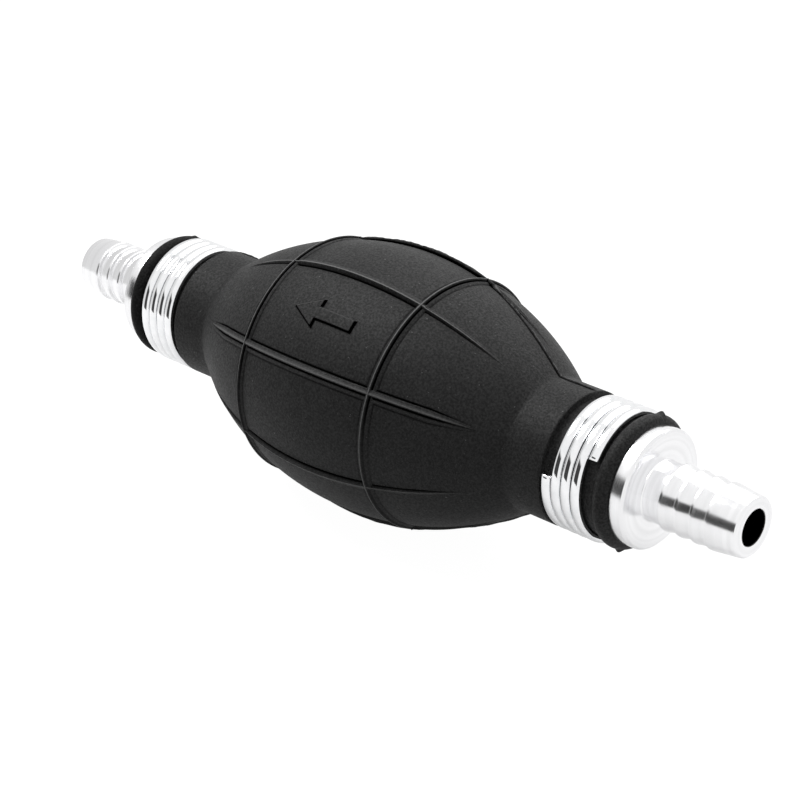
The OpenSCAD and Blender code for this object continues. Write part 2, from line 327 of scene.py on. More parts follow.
def outline_distance(px, py, corners):
    """Distance to a closed outline, positive inside."""
    best = np.full(px.shape, 1e9)
    inside = np.zeros(px.shape, bool)
    for a, b in zip(corners, np.roll(corners, -1, axis=0)):
        ex, ey = b - a
        wx, wy = px - a[0], py - a[1]
        t = np.clip((wx * ex + wy * ey) / (ex * ex + ey * ey), 0, 1)
        best = np.minimum(best, np.hypot(wx - t * ex, wy - t * ey))
        if a[1] != b[1]:
            crosses = ((a[1] > py) != (b[1] > py)) & (px < a[0] + (py - a[1]) * ex / ey)
            inside ^= crosses
    return np.where(inside, best, -best)


def angle_gap(angle, centre):
    """How far an angle lies past a centre, in radians from -pi to pi."""
    return (angle - centre + math.pi) % (2 * math.pi) - math.pi


def flash(x, angle, base):
    """Height and tone of the mould's thin ragged fin: a painted highlight on it, painted shade
    beside it.
    """
    shape = np.broadcast(x, angle).shape
    height, tone = np.zeros(shape), np.zeros(shape)
    wander = WANDER_ANGLE * np.clip((x - WANDER_START) / (WANDER_END - WANDER_START), 0, 1)
    grown = 1 + GROWTH * np.clip((x - WANDER_START) / GROWTH_RUN, 0, 1)
    for seed, (a, share) in enumerate(zip(PARTING_ANGLES, RAGGEDNESS)):
        rng = np.random.default_rng(seed)
        ragged = np.zeros(shape)
        for _ in range(FLASH_WAVES):
            wave = rng.uniform(*FLASH_WAVELENGTHS)
            phase = rng.uniform(0, 2 * math.pi)
            ragged = ragged + share * np.sin(2 * math.pi * x / wave + phase)
        gap = angle_gap(angle, np.radians(a + wander)) * base
        thin = np.clip(1.3 - np.abs(gap) / FLASH_W, 0, 1)
        height = height + FLASH_H * grown * thin * np.clip(0.55 + ragged / FLASH_WAVES, 0.1, 1)
        # A line of painted shade runs beside the fin
        beside = np.clip(1.5 - np.abs(gap + FLASH_SHADE_OFFSET) / FLASH_W, 0, 1)
        tone = tone + FLASH_HIGHLIGHT * thin * (ragged > 0) - beside
    return height, np.clip(tone, -1, 1)


def rib_share(x, end):
    """Share of a rib's full height at x, falling to nothing at the rib's end."""
    return np.clip(1 - (x / end) ** 2, 0, 1) ** 0.85


def arrow_relief(x, angle, base):
    """Height and tone of the flow arrow: painted shadow on walls facing down or inlet-wards,
    painted highlight on the rim.
    """
    side = angle_gap(angle, math.radians(ARROW_ANGLE)) * base
    depth = outline_distance(x, side, ARROW)
    rim = np.clip(1 - np.abs(depth - ARROW_WALL / 2) / ARROW_RIM_W, 0, 1)
    wall = np.clip(1.8 - 2 * np.abs(depth) / ARROW_WALL, 0, 1)
    # Walls sloping down or inlet-wards get painted shadow, the rest a painted highlight on the rim
    step = 0.1 * MM
    drop = (depth - outline_distance(x + step, side - step, ARROW)) / step
    tone = np.where(drop > 0.3, -wall, ARROW_RIM_HIGHLIGHT * rim)
    return ARROW_H * smooth_step(0.5 + depth / ARROW_WALL), tone


def relief(x, angle):
    """Height of the ribs, rings, arrow and flash above the smooth bulb, and their tone of painted
    highlight and shade.
    """
    base = surface_r(x)
    shape = np.broadcast(x, angle).shape
    height, low, tone = np.zeros(shape), np.zeros(shape), np.zeros(shape)

    def add(section, across, top, ring_shade_share=1):
        nonlocal height, low, tone
        places, shares, tones = np.array(section).T
        part = np.interp(across, places * MM, shares) * top
        strong = np.clip(top / FULL_TONE_H, 0, 1) * np.interp(across, places * MM, tones)
        strong = np.where(strong < 0, strong * ring_shade_share, strong)
        in_groove = (part < 0) & (height <= 0)
        tone = np.where((part > height) | in_groove, strong, tone)
        height = np.maximum(height, part)
        low = np.minimum(low, part)

    # Share of the rings' painted shade, which falls off round the lower half of the bulb
    ring_shade_share = LEAST_RING_SHADE + (1 - LEAST_RING_SHADE) * smooth_step(0.2 + 2 * np.sin(angle))
    for place in RING_PLACES:
        add(RING, x - place, RING_H, ring_shade_share)
    for i in range(RIB_COUNT):
        section = RIBS[i % len(RIBS)]
        share = rib_share(x, OPENING_RIB_END if section is OPENING_RIB else OTHER_RIB_END)
        width = np.clip(2 * share, 0.15, 1) ** 0.8
        if section in (SIDE_RIB, TURNED_RIB):
            width = width * np.where(np.abs(x) > RIB_THIN_FROM, RIB_THINNED, 1)
        gap = angle_gap(angle, math.radians(RIB_START + i * 360 / RIB_COUNT))
        add(section, gap * base / width, RIB_H * share)
    arrow, arrow_tone = arrow_relief(x, angle, base)
    tone = np.where(arrow > height, arrow_tone, tone)
    height = np.maximum(height, arrow)
    height = np.where(height > 0, height, low)
    fin, fin_tone = flash(x, angle, base)
    return height + fin, np.clip(tone + fin_tone, -1, 1)


def spaced(low, high, step):
    """Evenly spaced places from low to high, about one step apart."""
    return np.linspace(low, high, max(2, int(round((high - low) / step)) + 1))


def bulb_x_samples():
    """Places along the swollen body, close together where the relief is fine."""
    fine, coarse = 0.1 * MM, 0.45 * MM
    ring_half = 1.8 * MM
    margin = 0.3 * MM
    arrow_low, arrow_high = ARROW[:, 0].min() - margin, ARROW[:, 0].max() + margin
    crease = BODY_HALF - CREASE_HALF
    left, right = RING_PLACES
    parts = [
        spaced(-crease, left - ring_half, coarse),
        spaced(left - ring_half, left + ring_half, fine),
        spaced(left + ring_half, arrow_low, coarse),
        spaced(arrow_low, arrow_high, fine),
        spaced(arrow_high, right - ring_half, coarse),
        spaced(right - ring_half, right + ring_half, fine),
        spaced(right + ring_half, crease, coarse),
    ]
    return np.unique(np.round(np.concatenate(parts), 8))


def bulb_angle_samples(low, high):
    """Angles in degrees from low to high, close together over the ribs and the arrow."""
    coarse, smallest = 1.2, 0.1
    rib_half, rib_step = 4.6, 0.23
    arrow_half, arrow_step = 7.2, 0.22
    fin_half, fin_step = 0.84, 0.12
    wander_margin, wander_step = 4, 0.4
    parts = [spaced(low, high, coarse)]
    for i in range(-1, RIB_COUNT + 1):
        a = RIB_START + i * 360 / RIB_COUNT
        parts.append(spaced(a - rib_half, a + rib_half, rib_step))
    parts.append(spaced(ARROW_ANGLE - arrow_half, ARROW_ANGLE + arrow_half, arrow_step))
    for a in PARTING_ANGLES:
        parts.append(spaced(a - fin_half, a + fin_half, fin_step))
        parts.append(spaced(a + WANDER_ANGLE - wander_margin, a + wander_margin, wander_step))
    angles = np.sort(np.concatenate(parts))
    keep = [low]
    for a in angles[(angles > low + smallest / 2) & (angles < high - smallest / 2)]:
        if a - keep[-1] > smallest:
            keep.append(a)
    return np.array(keep + [high])


def neck_outline():
    """The outside of one neck from the body's crease to the end of the bead, as (x, r)."""
    lip = 0.25 * MM
    fillet = 0.12 * MM
    along_neck, along_channel = 0.5 * MM, 1 * MM
    points = [(BODY_HALF + CREASE_HALF, NECK_R)]
    neck_start = BODY_HALF + 1.6 * MM
    points += [(x, NECK_R) for x in np.arange(neck_start, CHANNEL_X0 - lip, along_neck)]
    for k in range(5):
        a = math.radians(90 - 90 * k / 4)
        points.append((CHANNEL_X0 - lip + lip * math.cos(a), NECK_R - lip + lip * math.sin(a)))
    points.append((CHANNEL_X0 + 0.002 * MM, CHANNEL_R + fillet))
    points.append((CHANNEL_X0 + 0.1 * MM, CHANNEL_R))
    middle_x = NECK_END - BEAD_R
    rise = math.asin((CHANNEL_R - BEAD_MID_R) / BEAD_R)
    start_x = middle_x - BEAD_R * math.cos(rise)
    stop = start_x - along_channel / 2
    channel = np.arange(CHANNEL_X0 + along_channel, stop, along_channel)
    points += [(x, CHANNEL_R) for x in channel]
    bead_steps = 18
    for k in range(bead_steps + 1):
        a = (math.pi - rise) * (1 - k / bead_steps)
        points.append((middle_x + BEAD_R * math.cos(a), BEAD_MID_R + BEAD_R * math.sin(a)))
    return np.array(points)


def bead_nub(x, angle):
    """Small nubs of flash on the end beads, where the mould's halves met."""
    on_bead = np.clip((np.abs(x) - (NECK_END - 2 * BEAD_R)) / (0.6 * MM), 0, 1)
    middle = np.exp(-((np.abs(x) - (NECK_END - BEAD_R)) / NUB_LENGTH) ** 2)
    height = np.zeros(np.broadcast(x, angle).shape)
    for a in PARTING_ANGLES:
        gap = angle_gap(angle, math.radians(a)) * CHANNEL_R
        height = height + NUB_H * np.exp(-(gap / NUB_W) ** 2)
    return height * on_bead * middle * np.where(x < 0, OUTLET_NUB_SHARE, 1)


def soft_outline(x):
    """Radius of the body, running into the neck by a small fillet."""
    fillet = 0.25 * MM
    difference = surface_r(x) - NECK_R
    return NECK_R + 0.5 * (difference + np.sqrt(difference ** 2 + fillet ** 2))


def bulb_outside(angles):
    """Grids of x, radius and tone over the outside, from the outlet bead to the inlet bead."""
    body_x = bulb_x_samples()
    neck = neck_outline()
    crease = [-1.1, -0.9, -0.7, -0.5, -0.3, -0.15, 0, 0.15, 0.3, 0.6, 0.9]
    near_x = BODY_HALF + np.array(crease) * MM
    right = np.concatenate([near_x, neck[:, 0]])
    outer_x = np.concatenate([-right[::-1], body_x, right])
    plain_r = np.concatenate([
        neck[::-1, 1], soft_outline(near_x[::-1]), soft_outline(body_x),
        soft_outline(near_x), neck[:, 1],
    ])
    x, a = np.meshgrid(outer_x, angles)
    on_body = np.abs(x) < BODY_HALF
    on_neck = ~on_body & (np.abs(x) < CHANNEL_X0 - 0.3 * MM)
    on_outlet_bead = x < 2 * BEAD_R - NECK_END
    raised, tone = relief(np.clip(x, -BODY_HALF, BODY_HALF), a)
    fin, fin_tone = flash(x, a, NECK_R)
    # The outlet bead gets painted shade
    tone = np.where(on_body, tone, np.where(on_neck, fin_tone, OUTLET_BEAD_SHADE * on_outlet_bead))
    height = np.where(on_body, raised, np.where(on_neck, fin, 0))
    return x, plain_r + height + bead_nub(x, a), tone


def bulb_inside():
    """Outline of the cavity and of the bores through both necks, as x and radius."""
    along_body, along_bore = 1.5 * MM, 2 * MM
    cavity_x = spaced(-BODY_HALF, BODY_HALF, along_body)
    inner_arc = ARC_R - WALL
    cavity_r = np.maximum(np.sqrt(inner_arc ** 2 - cavity_x ** 2) - ARC_DROP, PLUG_R)
    bore = spaced(BODY_HALF + along_bore, NECK_END, along_bore)
    bore_r = np.full(len(bore), PLUG_R)
    x = np.concatenate([-bore[::-1], cavity_x, bore])
    return x, np.concatenate([bore_r, cavity_r, bore_r])


def grid_quads(rows, cols, start):
    """Faces of a grid of points that are numbered row by row from start."""
    j, i = np.meshgrid(np.arange(rows - 1), np.arange(cols - 1), indexing="ij")
    a = start + j * cols + i
    return np.stack([a, a + 1, a + 1 + cols, a + cols], -1).reshape(-1, 4)


def cut_face(outer_x, inner_x, outer_start, inner_start):
    """Triangles between two rows of points that run side by side, outside and inside."""
    triangles = []
    a, b = 0, 0
    last_a, last_b = len(outer_x) - 1, len(inner_x) - 1
    while a < last_a or b < last_b:
        if b == last_b or (a < last_a and outer_x[a + 1] <= inner_x[b + 1]):
            triangles.append([outer_start + a, inner_start + b, outer_start + a + 1])
            a += 1
        else:
            triangles.append([outer_start + a, inner_start + b, inner_start + b + 1])
            b += 1
    return np.array(triangles)


def bulb_half(name, low, high):
    """Half of the moulding, from one angle to another half a turn on, as a closed solid."""
    angles = np.radians(bulb_angle_samples(low, high))
    x, r, tone = bulb_outside(angles)
    outer = round_about_x(x, r, angles[:, None])
    inner_x, inner_r = bulb_inside()
    x2, a2 = np.meshgrid(inner_x, angles)
    inner = round_about_x(x2, np.broadcast_to(inner_r, x2.shape), a2)
    verts = np.concatenate([outer.reshape(-1, 3), inner.reshape(-1, 3)])

    rows, n_out, n_in = len(angles), x.shape[1], len(inner_x)
    shift = rows * n_out
    j = np.arange(rows - 1)
    right_end = np.stack([
        j * n_out + n_out - 1, shift + j * n_in + n_in - 1,
        shift + (j + 1) * n_in + n_in - 1, (j + 1) * n_out + n_out - 1,
    ], -1)
    left_end = np.stack([
        j * n_out, (j + 1) * n_out, shift + (j + 1) * n_in, shift + j * n_in,
    ], -1)
    quads = np.concatenate([
        grid_quads(rows, n_out, 0), grid_quads(rows, n_in, shift)[:, ::-1], right_end, left_end,
    ])
    outer_x = x[0]
    last_outer, last_inner = (rows - 1) * n_out, shift + (rows - 1) * n_in
    cuts = np.concatenate([
        cut_face(outer_x, inner_x, 0, shift),
        cut_face(outer_x, inner_x, last_outer, last_inner)[:, ::-1],
    ])
    piece = make_piece(name, verts, quads, cuts)
    tones = np.zeros(len(verts))
    tones[:shift] = tone.reshape(-1)
    piece.data.attributes.new(TONE, "FLOAT", "POINT").data.foreach_set("value", tones)
    return piece


# ---------------------------------------------------------------- metal pieces

def hose_end_outline():
    """Outline of a hose end for the +X side as (x, r), with the valve chamber inside."""
    flange_t = 2.9 * MM
    flange_x = NECK_END + flange_t
    flange_chamfer = 0.45 * MM
    chamfer = 0.3 * MM
    tip_r = 5.55 * MM
    valley = BARB_R - 0.58 * MM
    chamber_x = NECK_END - 2.2 * MM
    groove_r = CHAMBER_R + 0.55 * MM
    groove_x = ring_low.x - 0.05 * MM
    barb_count = 4
    rise = 0.25 * MM
    bore_edge = 0.2 * MM
    points = [
        (PLUG_X, PLUG_R - 0.5 * MM), (PLUG_X + 0.5 * MM, PLUG_R), (NECK_END, PLUG_R),
        (NECK_END, FLANGE_R), (flange_x - flange_chamfer, FLANGE_R),
        (flange_x, FLANGE_R - flange_chamfer), (flange_x, valley),
    ]
    radii = [0.1 * MM, 0.1 * MM, 0, 0.25 * MM, 0.08 * MM, 0.08 * MM, 0.35 * MM]
    for i in range(barb_count):
        x = BARB_X + i * BARB_PITCH
        points += [(x - rise, valley), (x, BARB_R), (x + BARB_LAND, BARB_R)]
        radii += [0.12 * MM, 0.12 * MM, 0.25 * MM]
    points += [
        (TIP_X - chamfer, tip_r), (TIP_X, tip_r - chamfer), (TIP_X, BORE_R + bore_edge),
        (TIP_X - bore_edge, BORE_R), (chamber_x, BORE_R), (chamber_x, CHAMBER_R),
        (ring_high.x, CHAMBER_R), (ring_high.x, groove_r), (groove_x, groove_r),
        (groove_x, CHAMBER_R), (PLUG_X, CHAMBER_R),
    ]
    radii += [0.25 * MM, 0.25 * MM, 0.08 * MM, 0.08 * MM, 0, 0, 0.03 * MM, 0, 0, 0.03 * MM, 0]
    return rounded(points, radii)


def mirrored(outline):
    """The same outline for the other end of the pump."""
    return outline * np.array([-1, 1])


def wire_section(w, h, count=32):
    """Section of the clamp wire as (outward, along) offsets: a rectangle with round sides."""
    a = np.arange(count) * 2 * math.pi / count
    power = 2 / WIRE_SQUARENESS
    out = h / 2 * np.sign(np.cos(a)) * np.abs(np.cos(a)) ** power
    along = w / 2 * np.sign(np.sin(a)) * np.abs(np.sin(a)) ** power
    return np.stack([out, along], -1)


def coil(name, start_deg, flip):
    """A wire clamp round a neck, wound with the angle falling as it goes outwards."""
    steps_per_turn = 110
    steps = int(COIL_TURNS * steps_per_turn)
    t = np.linspace(0, 1, steps)
    first_x = coil_low.x + WIRE_W / 2
    last_x = coil_high.x - WIRE_W / 2
    uneven = 0.02 * MM
    wander = uneven * np.sin(2 * math.pi * t * COIL_TURNS * 0.37 + 0.6) * np.sin(math.pi * t)
    x = first_x + (last_x - first_x) * t + wander
    angle = math.radians(start_deg) - 2 * math.pi * COIL_TURNS * t
    middle_r = coil_high.z - WIRE_H / 2 - 0.03 * MM
    centre = round_about_x(x, np.full(steps, middle_r), angle)
    outward = round_about_x(np.zeros(steps), np.ones(steps), angle)
    tangent = np.gradient(centre, axis=0)
    tangent /= np.linalg.norm(tangent, axis=1)[:, None]
    along = np.cross(tangent, outward)
    along *= np.sign(along[:, 0])[:, None]
    if flip:
        turn = np.array([-1, -1, 1])
        centre, outward, along = centre * turn, outward * turn, along * turn
    return sweep(name, centre, outward, along, wire_section(WIRE_W, WIRE_H))


def valve_spring(name, node):
    """A compression spring with closed ends, in the space of its CAD node."""
    low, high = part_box(node)
    wire_r = 0.25 * MM
    turns, steps_per_turn, sides = 5, 48, 12
    mid_r = high.z - wire_r
    steps = turns * steps_per_turn
    t = np.linspace(0, 1, steps)
    # The end turns lie nearly flat
    closed, flatness = 0.16, 0.9
    run = np.clip((t - closed / 2) / (1 - closed), 0, 1)
    run = run * flatness + (1 - flatness) * t
    x = low.x + wire_r + (high.x - low.x - 2 * wire_r) * run
    angle = 2 * math.pi * turns * t
    centre = round_about_x(x, np.full(steps, mid_r), angle)
    outward = round_about_x(np.zeros(steps), np.ones(steps), angle)
    along = np.tile([1.0, 0.0, 0.0], (steps, 1))
    a = np.arange(sides) * 2 * math.pi / sides
    section = np.stack([wire_r * np.cos(a), wire_r * np.sin(a)], -1)
    return sweep(name, centre, outward, along, section)


# ---------------------------------------------------------------- materials

def new_material(name):
    """A node material with its nodes, its links and its shader."""
    material = bpy.data.materials.new(name)
    material.use_nodes = True
    nodes = material.node_tree.nodes
    return material, nodes, material.node_tree.links, nodes["Principled BSDF"]


def object_coordinates(nodes, links, scale=(1, 1, 1)):
    """Places on the piece in metres, stretched by a scale along each axis."""
    source = nodes.new("ShaderNodeTexCoord")
    mapping = nodes.new("ShaderNodeMapping")
    mapping.inputs["Scale"].default_value = scale
    links.new(source.outputs["Object"], mapping.inputs["Vector"])
    return mapping.outputs["Vector"]


def noise(nodes, links, vector, feature, detail=3.0, roughness=0.5):
    """Noise whose features are about `feature` metres across."""
    node = nodes.new("ShaderNodeTexNoise")
    node.inputs["Scale"].default_value = 1 / feature
    node.inputs["Detail"].default_value = detail
    node.inputs["Roughness"].default_value = roughness
    links.new(vector, node.inputs["Vector"])
    return node.outputs["Fac"]


def ramp(nodes, links, value, stops):
    """Maps a value through stops of (position, grey or colour)."""
    node = nodes.new("ShaderNodeValToRGB")
    elements = node.color_ramp.elements
    while len(elements) < len(stops):
        elements.new(0.5)
    for element, (position, colour) in zip(elements, stops):
        element.position = position
        if not hasattr(colour, "__len__"):
            colour = (colour, colour, colour)
        element.color = (*colour, 1)
    links.new(value, node.inputs["Fac"])
    return node.outputs["Color"]


def math_node(nodes, links, operation, a, b):
    """A sum of two values, each a number or another node's output."""
    node = nodes.new("ShaderNodeMath")
    node.operation = operation
    for socket, value in zip(node.inputs, (a, b)):
        if hasattr(value, "is_output"):
            links.new(value, socket)
        else:
            socket.default_value = value
    return node.outputs[0]


def bump(nodes, links, height, distance, strength, normal=None):
    """Bumps of a given depth in metres, laid over another normal if there is one."""
    node = nodes.new("ShaderNodeBump")
    node.inputs["Distance"].default_value = distance
    node.inputs["Strength"].default_value = strength
    links.new(height, node.inputs["Height"])
    if normal is not None:
        links.new(normal, node.inputs["Normal"])
    return node.outputs["Normal"]


def rubber_material():
    """Matte black moulded rubber: mottled grain, a little dust, painted highlights on crests and
    painted shade in grooves.
    """
    material, nodes, links, shader = new_material("bulb_rubber")
    vector = object_coordinates(nodes, links)
    cloud = noise(nodes, links, vector, 9 * MM, 4)
    mottle = noise(nodes, links, vector, 0.42 * MM, 3, 0.65)
    grain = noise(nodes, links, vector, 0.26 * MM, 3, 0.65)
    dust = noise(nodes, links, vector, 0.55 * MM, 1)
    colour = ramp(nodes, links, cloud, [(0.3, 0.006), (0.7, 0.01)])
    spots = ramp(nodes, links, mottle, [(0.4, 0), (0.64, 0.026)])
    specks = ramp(nodes, links, dust, [(0.75, 0), (0.8, 0.12)])
    tone = nodes.new("ShaderNodeAttribute")
    tone.attribute_name = TONE
    # A positive tone adds a painted highlight to the colour
    crest_light = math_node(nodes, links, "MAXIMUM", tone.outputs["Fac"], 0)
    painted_highlight = ramp(nodes, links, crest_light, [(0.1, 0), (1.0, 0.22)])
    total = colour
    for layer in (spots, specks, painted_highlight):
        mix = nodes.new("ShaderNodeMixRGB")
        mix.blend_type = "ADD"
        mix.inputs["Fac"].default_value = 1
        links.new(total, mix.inputs["Color1"])
        links.new(layer, mix.inputs["Color2"])
        total = mix.outputs["Color"]
    # A negative tone is painted shade that darkens both the colour and the shine
    painted_shade = math_node(nodes, links, "MINIMUM", tone.outputs["Fac"], 0)
    unshaded_share = math_node(nodes, links, "ADD", painted_shade, 1.0)
    shade = nodes.new("ShaderNodeMixRGB")
    shade.blend_type = "MULTIPLY"
    shade.inputs["Fac"].default_value = 1
    links.new(total, shade.inputs["Color1"])
    links.new(unshaded_share, shade.inputs["Color2"])
    links.new(shade.outputs["Color"], shader.inputs["Base Color"])
    links.new(ramp(nodes, links, mottle, [(0.3, 0.62), (0.7, 0.46)]), shader.inputs["Roughness"])
    normal = bump(nodes, links, mottle, 0.09 * MM, 0.7)
    links.new(bump(nodes, links, grain, 0.05 * MM, 0.7, normal), shader.inputs["Normal"])
    shine = math_node(nodes, links, "MULTIPLY", unshaded_share, 0.155)
    links.new(shine, shader.inputs["Specular IOR Level"])
    return material


def turned_metal_material(name, colour, roughness, ring_depth):
    """Bright metal off the lathe, with fine rings round the pump's axis and painted shade in the
    bore.
    """
    material, nodes, links, shader = new_material(name)
    source = nodes.new("ShaderNodeTexCoord")
    split = nodes.new("ShaderNodeSeparateXYZ")
    links.new(source.outputs["Object"], split.inputs["Vector"])
    y2 = math_node(nodes, links, "MULTIPLY", split.outputs["Y"], split.outputs["Y"])
    z2 = math_node(nodes, links, "MULTIPLY", split.outputs["Z"], split.outputs["Z"])
    radius = math_node(nodes, links, "SQRT", math_node(nodes, links, "ADD", y2, z2), 0)
    place = nodes.new("ShaderNodeCombineXYZ")
    links.new(split.outputs["X"], place.inputs["X"])
    links.new(radius, place.inputs["Y"])
    rings = noise(nodes, links, place.outputs["Vector"], 0.22 * MM, 4, 0.7)
    broad = noise(nodes, links, place.outputs["Vector"], 0.9 * MM, 2)
    plain = object_coordinates(nodes, links)
    stain = noise(nodes, links, plain, 3.5 * MM, 4)
    shader.inputs["Metallic"].default_value = 1
    turning = nodes.new("ShaderNodeTangent")
    turning.direction_type = "RADIAL"
    turning.axis = "X"
    links.new(turning.outputs["Tangent"], shader.inputs["Tangent"])
    shader.inputs["Anisotropic"].default_value = 0.6
    darker = 0.92
    dark = tuple(c * darker for c in colour)
    # Inside the bore the metal is painted nearly black as shade
    bore_shade_to = BORE_R + 0.12 * MM
    bore = math_node(nodes, links, "GREATER_THAN", radius, bore_shade_to)
    mix = nodes.new("ShaderNodeMixRGB")
    links.new(bore, mix.inputs["Fac"])
    mix.inputs["Color1"].default_value = (*BORE_SHADE_COLOUR, 1)
    links.new(ramp(nodes, links, broad, [(0.3, dark), (0.7, colour)]), mix.inputs["Color2"])
    links.new(mix.outputs["Color"], shader.inputs["Base Color"])
    rough = ramp(nodes, links, stain, [(0.3, roughness * 0.75), (0.75, roughness * 1.35)])
    links.new(rough, shader.inputs["Roughness"])
    normal = bump(nodes, links, rings, ring_depth, 0.6)
    scratch = noise(nodes, links, object_coordinates(nodes, links, (1, 0.12, 0.12)), 0.08 * MM, 3)
    links.new(bump(nodes, links, scratch, ring_depth * 0.4, 0.4, normal), shader.inputs["Normal"])
    return material


def wire_material():
    """Polished clamp wire, drawn smooth, with faint marks along it."""
    material, nodes, links, shader = new_material("bright_wire")
    vector = object_coordinates(nodes, links)
    drawn = noise(nodes, links, object_coordinates(nodes, links, (1, 0.06, 0.06)), 0.1 * MM, 3)
    smear = noise(nodes, links, vector, 1.6 * MM, 3)
    shader.inputs["Metallic"].default_value = 1
    colour = ramp(nodes, links, smear, [(0.3, (0.87, 0.88, 0.89)), (0.7, (0.95, 0.95, 0.96))])
    links.new(colour, shader.inputs["Base Color"])
    links.new(ramp(nodes, links, smear, [(0.3, 0.05), (0.7, 0.09)]), shader.inputs["Roughness"])
    links.new(bump(nodes, links, drawn, 0.0006 * MM, 0.3), shader.inputs["Normal"])
    return material


def steel_material():
    """Satin spring steel for the springs and snap rings."""
    material, nodes, links, shader = new_material("spring_steel")
    vector = object_coordinates(nodes, links)
    cloud = noise(nodes, links, vector, 1.2 * MM, 4)
    grain = noise(nodes, links, vector, 0.06 * MM, 3)
    shader.inputs["Metallic"].default_value = 1
    colour = ramp(nodes, links, cloud, [(0.3, (0.5, 0.5, 0.51)), (0.7, (0.66, 0.66, 0.68))])
    links.new(colour, shader.inputs["Base Color"])
    links.new(ramp(nodes, links, cloud, [(0.3, 0.22), (0.7, 0.4)]), shader.inputs["Roughness"])
    links.new(bump(nodes, links, grain, 0.006 * MM, 0.5), shader.inputs["Normal"])
    return material


def seal_material():
    """Smooth black nitrile for the sealing discs and O-rings."""
    material, nodes, links, shader = new_material("seal_rubber")
    vector = object_coordinates(nodes, links)
    cloud = noise(nodes, links, vector, 2 * MM, 3)
    grain = noise(nodes, links, vector, 0.1 * MM, 3)
    links.new(ramp(nodes, links, cloud, [(0.3, 0.018), (0.7, 0.03)]), shader.inputs["Base Color"])
    links.new(ramp(nodes, links, cloud, [(0.3, 0.34), (0.7, 0.48)]), shader.inputs["Roughness"])
    links.new(bump(nodes, links, grain, 0.01 * MM, 0.4), shader.inputs["Normal"])
    return material


def plastic_material():
    """Natural acetal with a faint moulded texture."""
    material, nodes, links, shader = new_material("valve_plastic")
    vector = object_coordinates(nodes, links)
    cloud = noise(nodes, links, vector, 3 * MM, 3)
    grain = noise(nodes, links, vector, 0.15 * MM, 3)
    colour = ramp(nodes, links, cloud, [(0.3, (0.78, 0.76, 0.69)), (0.7, (0.86, 0.84, 0.78))])
    links.new(colour, shader.inputs["Base Color"])
    links.new(ramp(nodes, links, cloud, [(0.3, 0.32), (0.7, 0.45)]), shader.inputs["Roughness"])
    links.new(bump(nodes, links, grain, 0.01 * MM, 0.35), shader.inputs["Normal"])
    shader.inputs["Subsurface Weight"].default_value = 0.1
    shader.inputs["Subsurface Scale"].default_value = 1 * MM
    return material


MATERIALS = {
    "bulb_rubber": rubber_material(),
    "turned_aluminium": turned_metal_material(
        "turned_aluminium", (0.95, 0.95, 0.96), 0.15, 0.014 * MM),
    "bright_wire": wire_material(),
    "seal_rubber": seal_material(),
    "spring_steel": steel_material(),
    "valve_plastic": plastic_material(),
}


def dress(piece, slot):
    """Gives a piece one of the materials."""
    piece.data.materials.clear()
    piece.data.materials.append(MATERIALS[slot])


# ---------------------------------------------------------------- pieces on their bodies

def add_bulb():
    """Two halves that meet near mid height."""
    for name, node, body, turn, side in (
        ("bulb_upper_half", "bulb_top_wall", "top_wall", 0, 1),
        ("bulb_lower_half", "bulb_bottom_wall", "bottom_wall", 180, -1),
    ):
        low = SPLIT_ANGLE + turn
        piece = bulb_half(name, low, low + 180)
        dress(piece, "bulb_rubber")
        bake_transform(piece)
        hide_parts("bulb", node)


def add_metal():
    """The two barbed ends and the two wire clamps."""
    outline = hose_end_outline()
    for name, node, shape in (
        ("inlet_barbed_end", "inlet_hose_end", outline),
        ("outlet_barbed_end", "outlet_hose_end", mirrored(outline)),
    ):
        piece = lathe(name, shape)
        dress(piece, "turned_aluminium")
        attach(piece, "housing")
        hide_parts(node)
    for name, node, start, flip in (
        ("inlet_wire_clamp", "inlet_coil_clamp", 10, False),
        ("outlet_wire_clamp", "outlet_coil_clamp", -4, True),
    ):
        piece = coil(name, start, flip)
        dress(piece, "bright_wire")
        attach(piece, "housing")
        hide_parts(node)


def add_springs():
    """A wire spring in each valve, in place of its CAD node."""
    for side, joint in (("inlet", "inlet_valve_lift"), ("outlet", "outlet_valve_lift")):
        node = side + "_valve_spring"
        low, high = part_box(node)
        piece = valve_spring(side + "_spring_wire", node)
        dress(piece, "spring_steel")
        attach(piece, "housing")
        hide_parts(node)
        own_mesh(piece)


def dress_cad_nodes():
    """Gives each carried-over node the material of its slot."""
    for part in frame["record"]["subparts"]:
        node = frame["nodes"][part["node"]]
        node.data.materials.clear()
        node.data.materials.append(MATERIALS[part["material_slot"]])


# ---------------------------------------------------------------- stage, light and camera

CAMERA_AZIMUTH = 42.72
CAMERA_ELEVATION = 26.35
CAMERA_DISTANCE = 450.87 * MM
CAMERA_LENS = 108.3
AIM_RIGHT = 1.66 * MM
AIM_UP = -3.53 * MM

FLOOR_R = 0.24
# How light the floor looks to the camera, to the light in the room and in the metal
FLOOR_SEEN = 0.15
FLOOR_LIT = 0.3
FLOOR_MIRRORED = 0.6
FLOOR_GLOW = 0.38
FLOOR_GLOW_SEEN = 0.6

# The dark patch of the room as stops over height, depth and distance from its middle
PATCH_HEIGHT = [(0.36, 0.9), (0.43, 0)]
PATCH_DEPTH = [(0.05, 1), (0.35, 0)]
PATCH_MIDDLE = -0.36
PATCH_SPREAD = [(0.3, 1), (0.38, 0)]
# The wall is less bright far to the left
WALL_BRIGHTNESS = [(0.6, 0.95), (0.92, 0.7)]
ROOM_LIGHT = 0.25
ROOM_SEEN = 0.85
ROOM_MIRRORED = 0.76

# Each softbox as (name, place, sides, power in watts)
SOFTBOXES = (
    ("key", (-0.5, -0.2, 0.85), (0.4, 0.4), 6),
    ("top", (0, 0.55, 0.8), (1.0, 1.0), 6),
)


